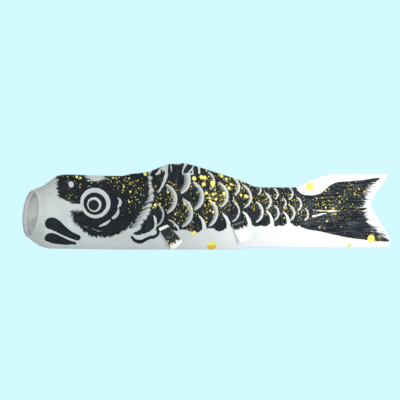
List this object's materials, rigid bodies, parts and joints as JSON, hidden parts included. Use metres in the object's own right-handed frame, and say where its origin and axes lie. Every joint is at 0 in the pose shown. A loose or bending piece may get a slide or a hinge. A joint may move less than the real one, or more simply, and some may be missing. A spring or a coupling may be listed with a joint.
{
  "type": "carp streamer",
  "caption": "Hand-painted black carp streamer: a sewn cloth tube with a round hooped mouth, hinged body stretches, loose fin flaps and an open notched tail.",
  "frame": {"origin": "centre of the mouth hoop", "axes": "+X from the mouth towards the tail, +Z from the belly towards the back, -Y the carp's left side, which is the one seen"},
  "size_m": [0.6069, 0.0772, 0.1364],
  "materials": {
    "painted_cloth": "matte woven cotton, black ink on white",
    "fin_cloth": "matte woven cotton, brushed black at the root",
    "hem_cloth": "matte woven cotton",
    "thread": "matte cotton thread",
    "hoop_strip": "satin split bamboo",
    "sleeve": "satin shrunk plastic"
  },
  "bodies": {
    "head": {"mouth_hoop": "hoop_strip", "hoop_sleeve": "sleeve", "mouth_hem": "hem_cloth", "mouth_stitches": "thread", "near_head_panel": "painted_cloth", "far_head_panel": "painted_cloth", "head_back_seam": "thread", "head_belly_seam": "thread"},
    "trunk": {"near_trunk_panel": "painted_cloth", "far_trunk_panel": "painted_cloth", "trunk_back_seam": "thread", "trunk_belly_seam": "thread", "near_pelvic_stitches": "thread", "far_pelvic_stitches": "thread"},
    "rear": {"near_rear_panel": "painted_cloth", "far_rear_panel": "painted_cloth", "rear_back_seam": "thread", "rear_belly_seam": "thread", "near_anal_stitches": "thread", "far_anal_stitches": "thread"},
    "tail": {"near_tail_panel": "painted_cloth", "far_tail_panel": "painted_cloth", "tail_back_seam": "thread", "tail_belly_seam": "thread"},
    "near_pelvic_flap": {"near_pelvic_fin": "fin_cloth"},
    "far_pelvic_flap": {"far_pelvic_fin": "fin_cloth"},
    "near_anal_flap": {"near_anal_fin": "fin_cloth"},
    "far_anal_flap": {"far_anal_fin": "fin_cloth"}
  },
  "joints": [
    {"name": "sway_shoulder", "type": "hinge", "parent": "head", "child": "trunk", "pos_m": [0.182, 0, 0], "axis": [0, 0, 1], "range_deg": [-20, 20]},
    {"name": "sway_hump", "type": "hinge", "parent": "trunk", "child": "rear", "pos_m": [0.305, 0, 0], "axis": [0, 0, 1], "range_deg": [-25, 25]},
    {"name": "sway_tail", "type": "hinge", "parent": "rear", "child": "tail", "pos_m": [0.437, 0, 0], "axis": [0, 0, 1], "range_deg": [-35, 35]},
    {"name": "near_pelvic_flutter", "type": "hinge", "parent": "trunk", "child": "near_pelvic_flap", "pos_m": [0.204, -0.01632, -0.023], "axis": [-0.9285, 0, -0.3714], "range_deg": [0, 70]},
    {"name": "far_pelvic_flutter", "type": "hinge", "parent": "trunk", "child": "far_pelvic_flap", "pos_m": [0.204, 0.01632, -0.023], "axis": [0.9285, 0, 0.3714], "range_deg": [0, 70]},
    {"name": "near_anal_flutter", "type": "hinge", "parent": "rear", "child": "near_anal_flap", "pos_m": [0.328, -0.01332, -0.018], "axis": [-0.9615, 0, -0.2747], "range_deg": [0, 70]},
    {"name": "far_anal_flutter", "type": "hinge", "parent": "rear", "child": "far_anal_flap", "pos_m": [0.328, 0.01332, -0.018], "axis": [0.9615, 0, 0.2747], "range_deg": [0, 70]}
  ]
}
